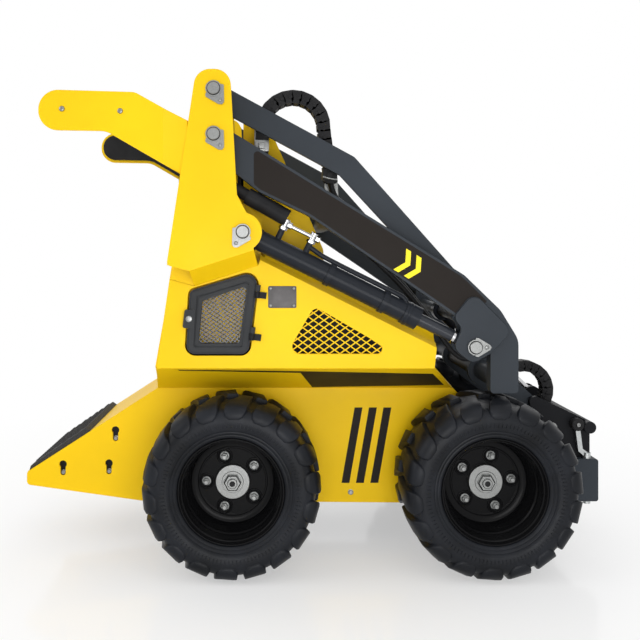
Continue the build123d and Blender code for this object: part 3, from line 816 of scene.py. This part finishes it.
def arm_chevrons(bm):
    # Two plain chevrons that point along the arm
    along = Vector((0.851, -0.525))
    up = Vector((0.525, 0.851))
    for i in range(2):
        start = CHEVRON_SPOT + along * (CHEVRON_PITCH * i)
        points = [tuple(start + along * a + up * b) for a, b in CHEVRON]
        side_pair(bm, points, CHEVRON_FACE, CHEVRON_FACE + FILM_T)


def type_plate(bm):
    side_pair(bm, rounded(TYPE_PLATE, 4, 3), PANEL_FACE, PANEL_FACE + TYPE_PLATE_T, 0.4)


build("fender_stripes", films, "chassis", "black_paint", FILM)
build("arm_band", arm_films, "lift_arm", "dark_grey_paint", FILM)
build("arm_chevrons", arm_chevrons, "lift_arm", "yellow_paint", BRIGHT_FILM)
build("type_plates", type_plate, "chassis", "bright_steel", BARE)


# Doors: window step, lock and woven wire

DOOR_WINDOW = ((-328, 646), (-212, 646), (-190, 809), (-317, 766))
DOOR_STEP = ((-340, 634), (-204, 634), (-179, 823), (-330, 777))
DOOR_FACE = PANEL_FACE + 4
DOOR_LOCK = ((7.5, 9), (9.5, 9), (10, 8), (10, 3), (9, 3), (9, 0))
DOOR_LOCK_SPOT = (-354, 716)
WIRE_LAYERS = ((52, PANEL_FACE - 5), (-38, PANEL_FACE - 6.6))
WIRE_PITCH = 8.5
WIRE_D = 1.7
WIRE_SHORTEST = 4
WIRE_REACH = 90


def wire(bm):
    # Unit wire along Z, one metre long and one metre across
    lathe(bm, ((-500, 500), (500, 500)), turns=6)


WIRE = shape_object("wire_shape", wire)


def inside_span(window, angle, offset):
    # Where a slanted line crosses a convex outline: two points or none
    way = Vector((math.cos(angle), math.sin(angle)))
    side = Vector((-way.y, way.x))
    low, high = -1e9, 1e9
    for i in range(len(window)):
        a, b = Vector(window[i]), Vector(window[(i + 1) % len(window)])
        edge = b - a
        inner = Vector((-edge.y, edge.x))
        gap = inner.dot(side * offset - a)
        slope = inner.dot(way)
        if abs(slope) < 1e-6:
            if gap < 0:
                return None
            continue
        if slope > 0:
            low = max(low, -gap / slope)
        else:
            high = min(high, -gap / slope)
    if high - low < WIRE_SHORTEST:
        return None
    return side * offset + way * low, side * offset + way * high


def door_wires(sign):
    # Two layers of slanted wires, cut to the window
    rows = []
    for degrees, y in WIRE_LAYERS:
        for k in range(-WIRE_REACH, WIRE_REACH + 1):
            span = inside_span(DOOR_WINDOW, math.radians(degrees), k * WIRE_PITCH)
            if not span:
                continue
            mid = (span[0] + span[1]) / 2
            way = span[1] - span[0]
            size = (WIRE_D * MM, WIRE_D * MM, way.length * MM)
            rows.append((mid.x, sign * y, mid.y, (way.x, 0, way.y), size))
    return rows


def door_details():
    step = rounded(DOOR_STEP, 14)
    window = rounded(DOOR_WINDOW, 10)
    for side, sign in SIDES:
        body = "door_" + side
        low = sign * (DOOR_FACE - 0.5)
        high = sign * (DOOR_FACE + 1.5)
        build(body + "_frame", lambda bm: ring_plate(bm, step, window, low, high, 1.0),
              body, "black_plastic", DOOR_BLACK)
        scatter(body + "_wires", WIRE, door_wires(sign), body, "bright_steel", ZINC)
        lock = place(DOOR_LOCK_SPOT[0], sign * DOOR_FACE, DOOR_LOCK_SPOT[1], (0, sign, 0))
        build(body + "_lock", lambda bm: lathe(bm, DOOR_LOCK, lock, 24), body, "bright_steel", ZINC)


door_details()


# Hydraulics on the lift cylinders

PORTS = (95, 182)
PORT_H = 56
PORT_STEM = ((9, 9), (22, 9), (22, 11), (30, 11), (32, 9), (32, 0))
CROSS_PIPE_H = 74
LONG_PIPE = ((182, 46), (206, 42), (240, 37), (470, 37), (490, 35), (500, 26))
STRAPS = (270, 440)
STRAP = ((-8, 33), (8, 33), (8, 28), (-8, 28))
GLAND_S = 512
GLAND = ((-2, 33.2), (0, 34.5), (6, 34.5), (8, 33.2))
FOOT_RING_S = 34
FOOT_RING = ((0, 29), (2, 31.5), (16, 31.5), (18, 29))
COLLAR_S = CYLINDER_LEN - 62
COLLAR = ((-4, 19), (-4, 20.5), (-3, 21.5), (3, 21.5), (4, 20.5), (4, 19))
THIN_HOSE = ((-250, 395, 1098), (-215, 398, 1078), (-186, 400, 1060))
SLEEVE = ((-190, 400, 1062), (-140, 400, 1036))


def on_cylinder(s, h, sign):
    # Point at s along the lift cylinder and h above its middle line
    spot = Vector(PIN_3) + ALONG * s + ACROSS * h
    return (spot.x, sign * CYLINDER_Y, spot.y)


def along_cylinder(s, h, sign):
    # Matrix at such a point that looks along the cylinder
    return place(*on_cylinder(s, h, sign), (ALONG.x, 0, ALONG.y))


def port_fittings(bm, sign):
    for s in PORTS:
        foot = place(*on_cylinder(s, PORT_H, sign), (ACROSS.x, 0, ACROSS.y))
        hexagon(bm, 13, 0, 9, 1.2, foot)
        lathe(bm, PORT_STEM, foot, 20)
        hexagon(bm, 10, 0, 12, 1.2, along_cylinder(s + 9, CROSS_PIPE_H, sign))
    tube(bm, [on_cylinder(s, CROSS_PIPE_H, sign) for s in PORTS], 5.5, 12, "POLY")


def barrel_pipes(bm, sign):
    tube(bm, [on_cylinder(s, h, sign) for s, h in LONG_PIPE], 7)
    for s in STRAPS:
        lathe(bm, STRAP, along_cylinder(s, 0, sign), 40, ring=True)
    lathe(bm, GLAND, along_cylinder(GLAND_S, 0, sign))
    lathe(bm, FOOT_RING, along_cylinder(FOOT_RING_S, 0, sign))


def hose_sleeve(bm, sign):
    # Hose out of the body, and the wide sleeve over its other end
    tube(bm, [(x, sign * y, z) for x, y, z in THIN_HOSE], 17, 20)
    mouth = on_cylinder(PORTS[0] - 2, 90, sign)
    tube(bm, [(x, sign * y, z) for x, y, z in SLEEVE] + [mouth], 24, 28)


def cylinder_fittings():
    for side, sign in SIDES:
        body = "lift_barrel_" + side
        build(body + "_fittings", lambda bm: port_fittings(bm, sign), body, "bright_steel", CHROME)
        build(body + "_pipes", lambda bm: barrel_pipes(bm, sign), body, "black_paint", BARREL)
        rod = "lift_rod_" + side
        collar = along_cylinder(COLLAR_S, 0, sign)
        build(rod + "_collar", lambda bm: lathe(bm, COLLAR, collar, ring=True), rod, "bright_steel", CHROME)
        name = "hose_sleeve_" + side
        sleeve = add_object(name, drawn(name, lambda bm: hose_sleeve(bm, sign), HOSE))
        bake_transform(sleeve)


cylinder_fittings()


# Cable carriers: linked chain on the two loops

def arc_points(start, through, end, count):
    # Points on the circle through three points
    ax, az = start
    bx, bz = through
    cx, cz = end
    a_sq = ax * ax + az * az
    b_sq = bx * bx + bz * bz
    c_sq = cx * cx + cz * cz
    d = 2 * (ax * (bz - cz) + bx * (cz - az) + cx * (az - bz))
    ux = (a_sq * (bz - cz) + b_sq * (cz - az) + c_sq * (az - bz)) / d
    uz = (a_sq * (cx - bx) + b_sq * (ax - cx) + c_sq * (bx - ax)) / d
    first = math.atan2(az - uz, ax - ux)
    last = math.atan2(cz - uz, cx - ux)
    mid = math.atan2(bz - uz, bx - ux)
    turn = (last - first) % (2 * math.pi)
    if (mid - first) % (2 * math.pi) > turn:
        turn -= 2 * math.pi
    r = math.hypot(ax - ux, az - uz)
    angles = [first + turn * i / count for i in range(count + 1)]
    return [(ux + r * math.cos(a), uz + r * math.sin(a)) for a in angles]


def carrier_link(bm, width, height, pitch):
    # Two side cheeks, full on the outer side and notched on the inner, with a pin boss and two cross bars
    side = width / 2
    high = height / 2
    wide = pitch * 0.65
    slim = pitch * 0.4
    notch = 2 - high / 2
    cheek = [(-slim, -high), (slim, -high), (wide, notch), (wide, high), (-wide, high), (-wide, notch)]
    for sign, reach in ((-1, pitch * 0.22), (1, pitch * 0.56)):
        prism(bm, rounded(cheek, (3, 3, 2, 2, 2, 2), 3), sign * (side - 5), sign * side, 0.8)
        boss = place(pitch * 0.28, sign * side, 0, (0, sign, 0))
        lathe(bm, ((0, 6), (1.2, 6), (1.6, 5), (1.6, 0)), boss, 14)
        inner = sign * (high - 4)
        outer = sign * (high - 0.4)
        prism(bm, [(-reach, inner), (reach, inner), (reach, outer), (-reach, outer)], 4 - side, side - 4)


def carrier_hoses(bm, path, y, width):
    for k in (-1, 0, 1):
        tube(bm, [(x, y + k * width * 0.26, z) for x, z in path], width * 0.12, 10, "POLY")


def carrier(name, path, y, width, height, pitch):
    shape = shape_object(name + "_link", lambda bm: carrier_link(bm, width, height, pitch))
    base = path_mesh(name + "_path", path, y)
    chain = grow(name, base, CHAIN, Shape=shape, Pitch=pitch * MM, Material=PLASTIC)
    bpy.data.objects.remove(shape)
    return merge([chain, drawn(name + "_hoses", lambda bm: carrier_hoses(bm, path, y, width), HOSE)])


def carriers():
    rear_path = [(-150, 1190), (-148, 1238)]
    rear_path += arc_points((-146, 1283), (-60, 1355), (30, 1262), 24)
    rear_path += [(40, 1192), (50, 1120)]
    chain = add_object("rear_carrier_chain", carrier("rear_carrier_chain", rear_path, -307, 50, 38, 24))
    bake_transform(chain)
    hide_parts("rear_carrier")
    front_path = [(560, 548), (605, 543)]
    front_path += arc_points((650, 538), (742, 505), (738, 425), 20)
    mesh = carrier("front_carrier_chain", front_path, -110, 40, 34, 21)
    piece("front_carrier_chain", mesh, "lift_arm", "black_plastic", "front_carrier")


carriers()


# Clamps that hold the two ends of the rear carrier

CLAMP_FACE = -333
CLAMP_HALF = 21
STRAP_HALF = 1.5
REAR_CLAMP = (-150, 1212)
FRONT_CLAMP = (48, 1128)


def oblong(x, z, wide, high):
    return [(x - wide, z - high), (x + wide, z - high), (x + wide, z + high), (x - wide, z + high)]


def clamp(bm, x, z):
    # Pressed clip on the carrier's outer side, its strap round the edges
    prism(bm, rounded(oblong(x, z, CLAMP_HALF, 17), 5, 3), CLAMP_FACE, CLAMP_FACE - 4, 1.2)
    prism(bm, rounded(oblong(x, z, 10, 9), 3, 3), CLAMP_FACE - 3, CLAMP_FACE - 8, 2.0)
    for side in (-1, 1):
        strap = oblong(x + side * (CLAMP_HALF - STRAP_HALF), z, STRAP_HALF, 12)
        prism(bm, strap, CLAMP_FACE - 1, CLAMP_FACE + 54)


def clamp_wire(bm, x, z):
    # Bright spring wire over the clip's lower edge
    bends = ((-CLAMP_HALF, -5, -6), (0, -7, -13), (CLAMP_HALF, -5, -14))
    tube(bm, [(x + ahead, CLAMP_FACE + out, z + up) for ahead, out, up in bends], 3, 10)


build("rear_clamp", lambda bm: clamp(bm, *REAR_CLAMP), "chassis", "bright_steel", ZINC)
build("front_clamp", lambda bm: clamp(bm, *FRONT_CLAMP), "lift_arm", "black_plastic", PLASTIC)
build("front_clamp_wire", lambda bm: clamp_wire(bm, *FRONT_CLAMP), "lift_arm", "bright_steel", ZINC)


# Hoses that leave the carrier and run down inside the right arm

ARM_HOSES = ((-292, 0), (-310, 10))


def arm_hoses(bm):
    for y, drop in ARM_HOSES:
        tube(bm, [
            (50, y, 1128), (54, y, 1070), (104, y, 1040 - drop), (112, y, 950 - drop), (250, y, 830 - drop),
            (352, y, 700 - drop), (420, y, 604 - drop), (470, y, 600 - drop), (524, y + 30, 612 - drop),
            (534, y + 130, 616 - drop), (556, y + 185, 600 - drop), (590, y + 188, 548),
        ], 8, 12)


def hose_ferrules(bm):
    for y, drop in ARM_HOSES:
        lathe(bm, ((-16, 9), (-16, 10.5), (14, 10.5), (16, 9)), place(112, y, 985 - drop, (0.1, 0, -1)), 20)


build("arm_hoses", arm_hoses, "lift_arm", "black_plastic", HOSE)
build("arm_hose_ferrules", hose_ferrules, "lift_arm", "bright_steel", ZINC)


# Lock levers: black roller on the grip, screw in its middle

LEVER_GRIP = (808, 380)
LEVER_Y = 217
ROLLER = (
    (-11, 0), (-11, 17), (-9, 19), (-3, 18), (5, 18), (12, 19), (15, 17), (16, 14), (16, 8), (15, 7), (15, 0),
)
ROLLER_SCREW = ((14.5, 6.5), (17, 6.5), (18.5, 5), (18.5, 2.8), (17, 2.6), (17, 0))


def on_grips(bm, profile):
    for sign in (-1, 1):
        lathe(bm, profile, place(LEVER_GRIP[0], sign * LEVER_Y, LEVER_GRIP[1], (0, sign, 0)), 36)


build("lever_rollers", lambda bm: on_grips(bm, ROLLER), "coupler", "black_plastic", PLASTIC)
build("roller_screws", lambda bm: on_grips(bm, ROLLER_SCREW), "coupler", "bright_steel", ZINC)


# Weld beads: ripples along the seams of the arms

def ripple(bm):
    # One ripple of a bead, long side across the seam
    lathe(bm, ((-2.4, 0), (-1.7, 2.1), (0, 3.0), (1.7, 2.1), (2.4, 0)), turns=8)


RIPPLE = shape_object("ripple_shape", ripple)
WELD_PITCH = 2.6
DOUBLER = ((386, 723), (440, 791), (546, 685), (489, 624))
CROSS_TUBES = (((530, 538), 29), ((60, 1000), 27))
CROSS_TUBE_Y = ARM_FACE - 41


def seam(path, y):
    base = path_mesh("seam_path", path, y)
    return grow("seam", base, CHAIN, Shape=RIPPLE, Pitch=WELD_PITCH * MM, Material=ARM_GREY)


def circle_path(centre, r):
    angles = [2 * math.pi * i / 40 for i in range(41)]
    return [(centre[0] + r * math.cos(a), centre[1] + r * math.sin(a)) for a in angles]


def welds():
    seams = []
    for sign in (-1, 1):
        seams.append(seam(rounded(DOUBLER, (0, 26, 26, 0), 6), sign * (ARM_FACE + 0.8)))
        for centre, r in CROSS_TUBES:
            seams.append(seam(circle_path(centre, r), sign * CROSS_TUBE_Y))
    piece("arm_welds", merge(seams), "lift_arm", "dark_grey_paint")


welds()


# Step: rows of raised grip teeth, its flanges behind the keyholes and their bolts

STEP_FOOT = (-858, 250)
STEP_HEAD = (-690, 366)
STEP_UP = slant_up(STEP_FOOT, STEP_HEAD)
KEYHOLES = ((-757, 257), (-617, 260), (-597, 361))
SLOT_DROP = 26
FLANGE = ((-800, 212), (-570, 205), (-570, 402), (-606, 384), (-800, 258))
FLANGE_IN = 199
FLANGE_OUT = 206.5
TOOTH_ROWS = 8
TOOTH_PITCH = 22
TEETH_HALF = 192


def tooth_ring(bm):
    # Raised pierced tooth of the grip sheet
    lathe(bm, ((-0.5, 8), (1.2, 7.4), (3.2, 5.2), (3.2, 3.6), (0.4, 3.2), (0.4, 0)), turns=14)


def step_flanges(bm):
    side_pair(bm, FLANGE, FLANGE_IN, FLANGE_OUT, 1.0)


def step_details():
    tooth = shape_object("grip_tooth", tooth_ring)
    rows = []
    for row in range(TOOTH_ROWS):
        share = (row + 0.7) / (TOOTH_ROWS + 0.4)
        x, z = between(STEP_FOOT, STEP_HEAD, share)
        for k in range(-8, 9):
            y = TOOTH_PITCH * (k + 0.5 * (row % 2))
            if abs(y) < TEETH_HALF:
                rows.append((x, y, z, STEP_UP, 1.0))
    scatter("step_teeth", tooth, rows, "chassis", "black_plastic", GRIT)
    bpy.data.objects.remove(tooth)
    build("step_flanges", step_flanges, "chassis", "black_paint", BLACK)
    bolts = []
    for sign in (-1, 1):
        for x, z in KEYHOLES:
            bolts.append((x, sign * FLANGE_OUT, z - SLOT_DROP, (0, sign, 0), 0.66))
    scatter("step_bolts", HEXHEAD, bolts, "chassis", "bright_steel", ZINC)


step_details()


# Side panels: lips that carry their top flanges on inwards, and their rear corners

LIP_ENDS = ((-140, 889), (344, 648))
LIP_Y = 367
LIP_STEPS = ((0, 0), (-9, 8), (-15, 17), (-17, 27))
LIP_T = 4
CORNER = ((-410, 827), (-340, 807.5), (-350, 851), (-403.5, 866))
CORNER_T = 5


def panel_lips(bm):
    for sign in (-1, 1):
        rings = []
        for x, z in LIP_ENDS:
            outer = [(LIP_Y + step, z + rise) for step, rise in LIP_STEPS]
            inner = [(y - LIP_T, z_up) for y, z_up in reversed(outer)]
            rings.append([bm.verts.new((x * MM, sign * y * MM, z_up * MM)) for y, z_up in outer + inner])
        skin(bm, rings)


def panel_corners(bm):
    # Rear corners of the panels, up to the towers
    side_pair(bm, CORNER, PANEL_FACE - CORNER_T, PANEL_FACE)


build("panel_lips", panel_lips, "chassis", "yellow_paint", YELLOW)
build("panel_corners", panel_corners, "chassis", "yellow_paint", YELLOW)


# Black cups behind the vents: painted shade for the dark inside of the body

VENT = ((-79, 616), (233, 616), (0, 751))
VENT_MIDDLE = Vector((51, 661))
SHADE_CUP_T = 2


def vent_liners(bm):
    # Shallow black cups that taper inwards, painted shade seen through the vents
    for sign in (-1, 1):
        rings = []
        for scale, y in ((1.12, 380), (0.9, 352)):
            points = [tuple(VENT_MIDDLE + (Vector(p) - VENT_MIDDLE) * scale) for p in VENT]
            rings.append(side_ring(bm, rounded(points, 20, 6), sign * y))
        rings.append(side_ring(bm, [VENT_MIDDLE], sign * 350))
        skin(bm, rings, caps=False)


shade_cup = build("vent_liners", vent_liners, "chassis", "black_plastic", PLASTIC)
wall = shade_cup.modifiers.new("wall", "SOLIDIFY")
wall.thickness = SHADE_CUP_T * MM


# Console: lever boots, gauges, key switch and stop button

SLOPE_FOOT = (-390, 1130)
SLOPE_HEAD = (-330, 1235)
SLOPE_OUT = slant_up(SLOPE_FOOT, SLOPE_HEAD)
LEVER_WAY = (-0.5, 0, 0.866)
LEVER_ROWS = (-180, -110, 0, 110, 180)
LEVER_BOOT = (
    (-2, 24), (3, 24), (4, 18), (8, 19), (9, 15), (14, 16), (15, 11), (22, 12), (23, 7), (30, 6), (30, 0),
)
GAUGE_ROWS = (-55, 55)
GAUGE_RIM = ((-1, 27), (5, 27), (7, 25), (7, 22.5), (4, 22), (4, 0))
GAUGE_FACE = ((4, 22.2), (4.6, 21.6), (5.0, 0))
KEY_Y = 250
STOP_Y = -250
SWITCH_BASE = ((-1, 22), (3, 22), (4, 20), (4, 0))
KEY_SWITCH = ((4, 11), (9, 11), (10, 10), (10, 0))
STOP_BUTTON = ((4, 8), (14, 8), (15, 18), (20, 19), (24, 16), (26, 9), (26.5, 0))


def on_slope(share, y, towards=SLOPE_OUT):
    # Matrix on the console's slanted face, share 0 at its lower edge
    x, z = between(SLOPE_FOOT, SLOPE_HEAD, share)
    return place(x, y, z, towards)


def console_boots(bm):
    for y in LEVER_ROWS:
        lathe(bm, LEVER_BOOT, on_slope(0.64, y, LEVER_WAY), 28)
    for y in GAUGE_ROWS:
        lathe(bm, GAUGE_RIM, on_slope(0.42, y), 40)
    for y in (KEY_Y, STOP_Y):
        lathe(bm, SWITCH_BASE, on_slope(0.5, y), 32)


def console_metal(bm):
    lathe(bm, KEY_SWITCH, on_slope(0.5, KEY_Y), 24)
    for y in GAUGE_ROWS:
        lathe(bm, GAUGE_FACE, on_slope(0.42, y), 40)


def console_stop(bm):
    lathe(bm, STOP_BUTTON, on_slope(0.5, STOP_Y), 32)


build("console_boots", console_boots, "chassis", "black_plastic", PLASTIC)
build("console_metal", console_metal, "chassis", "bright_steel", ZINC)
build("console_stop", console_stop, "chassis", "black_plastic", RED)

for helper in (BUTTON, HEXHEAD, PIN_CAP, PIN_SHADOW_RING, WIRE, RIPPLE):
    bpy.data.objects.remove(helper)


# Stage: white floor and backdrop, lamps and camera

WORLD_LIGHT = 0.75
FLOOR_REACH = 40.0
SHADOW_NEAR = 0.6
SHADOW_FAR = 2.2
SHADOW_LEAST = 0.45
LAMPS = (  # name, place, aim, size, power
    ("key_light", (0.8, -3.4, 3.4), (0.0, 0.0, 0.6), 2.4, 15),
    ("side_light", (-3.4, -1.6, 2.2), (0.0, 0.0, 0.7), 2.2, 25),
    ("back_light", (0.5, 3.4, 3.2), (0.0, 0.0, 0.7), 2.6, 30),
    ("low_light", (0.1, -2.7, 0.3), (0.1, 0.0, 0.4), 1.4, 30),
)


def seen_rays(tree):
    # 1 for rays that show the background: from the camera, off shiny faces or through clear ones
    path = tree.nodes.new("ShaderNodeLightPath")
    total = path.outputs["Is Camera Ray"]
    for ray in ("Is Glossy Ray", "Is Transmission Ray"):
        either = tree.nodes.new("ShaderNodeMath")
        either.operation = "MAXIMUM"
        tree.links.new(total, either.inputs[0])
        tree.links.new(path.outputs[ray], either.inputs[1])
        total = either.outputs["Value"]
    return total


def fade_to_white(tree, bsdf):
    # Floor: its shadow round the machine, plain white further out
    coord = tree.nodes.new("ShaderNodeTexCoord")
    reach = tree.nodes.new("ShaderNodeVectorMath")
    reach.operation = "LENGTH"
    share = tree.nodes.new("ShaderNodeMapRange")
    share.inputs["From Min"].default_value = SHADOW_NEAR
    share.inputs["From Max"].default_value = SHADOW_FAR
    share.inputs["To Min"].default_value = SHADOW_LEAST
    factor = tree.nodes.new("ShaderNodeMath")
    factor.operation = "MULTIPLY"
    white = tree.nodes.new("ShaderNodeEmission")
    white.inputs["Color"].default_value = (1, 1, 1, 1)
    white.inputs["Strength"].default_value = 1.0
    mix = tree.nodes.new("ShaderNodeMixShader")
    wire_up(
        tree,
        (coord, "Object", reach, 0),
        (reach, "Value", share, "Value"),
        (share, "Result", factor, 0),
    )
    tree.links.new(seen_rays(tree), factor.inputs[1])
    wire_up(
        tree,
        (factor, "Value", mix, "Fac"),
        (bsdf, "BSDF", mix, 1),
        (white, "Emission", mix, 2),
        (mix, "Shader", tree.nodes["Material Output"], "Surface"),
    )


def backdrop():
    mat, tree, bsdf = shader("studio_white", (1, 1, 1), 0.12)
    fade_to_white(tree, bsdf)
    mesh = bpy.data.meshes.new("studio_floor")
    corners = [(x * FLOOR_REACH, y * FLOOR_REACH, 0) for x, y in ((-1, -1), (1, -1), (1, 1), (-1, 1))]
    mesh.from_pydata(corners, [], [(0, 1, 2, 3)])
    mesh.materials.append(mat)
    floor = add_object("studio_floor", mesh)
    world = bpy.data.worlds.new("studio")
    bpy.context.scene.world = world
    world.use_nodes = True
    tree = world.node_tree
    background = tree.nodes["Background"]
    background.inputs["Color"].default_value = (1, 1, 1, 1)
    tree.links.new(spread(tree, seen_rays(tree), WORLD_LIGHT, 1.0), background.inputs["Strength"])


def lamps():
    for name, spot, target, size, power in LAMPS:
        data = bpy.data.lights.new(name, "AREA")
        data.size = size
        data.energy = power
        lamp = add_object(name, data)
        lamp.location = spot
        lamp.rotation_euler = (Vector(target) - Vector(spot)).to_track_quat("-Z", "Y").to_euler()


def camera():
    lens = bpy.data.cameras.new("camera")
    lens.sensor_width = 36.0
    lens.lens = 44.0
    lens.shift_x = 0.0766
    lens.shift_y = -0.1094
    rig = add_object("camera", lens)
    rig.location = (-0.123, -2.6, 0.910)
    rig.rotation_euler = (math.radians(90), 0, 0)
    bpy.context.scene.camera = rig
    bpy.context.scene.view_settings.view_transform = "Standard"


backdrop()
lamps()
camera()
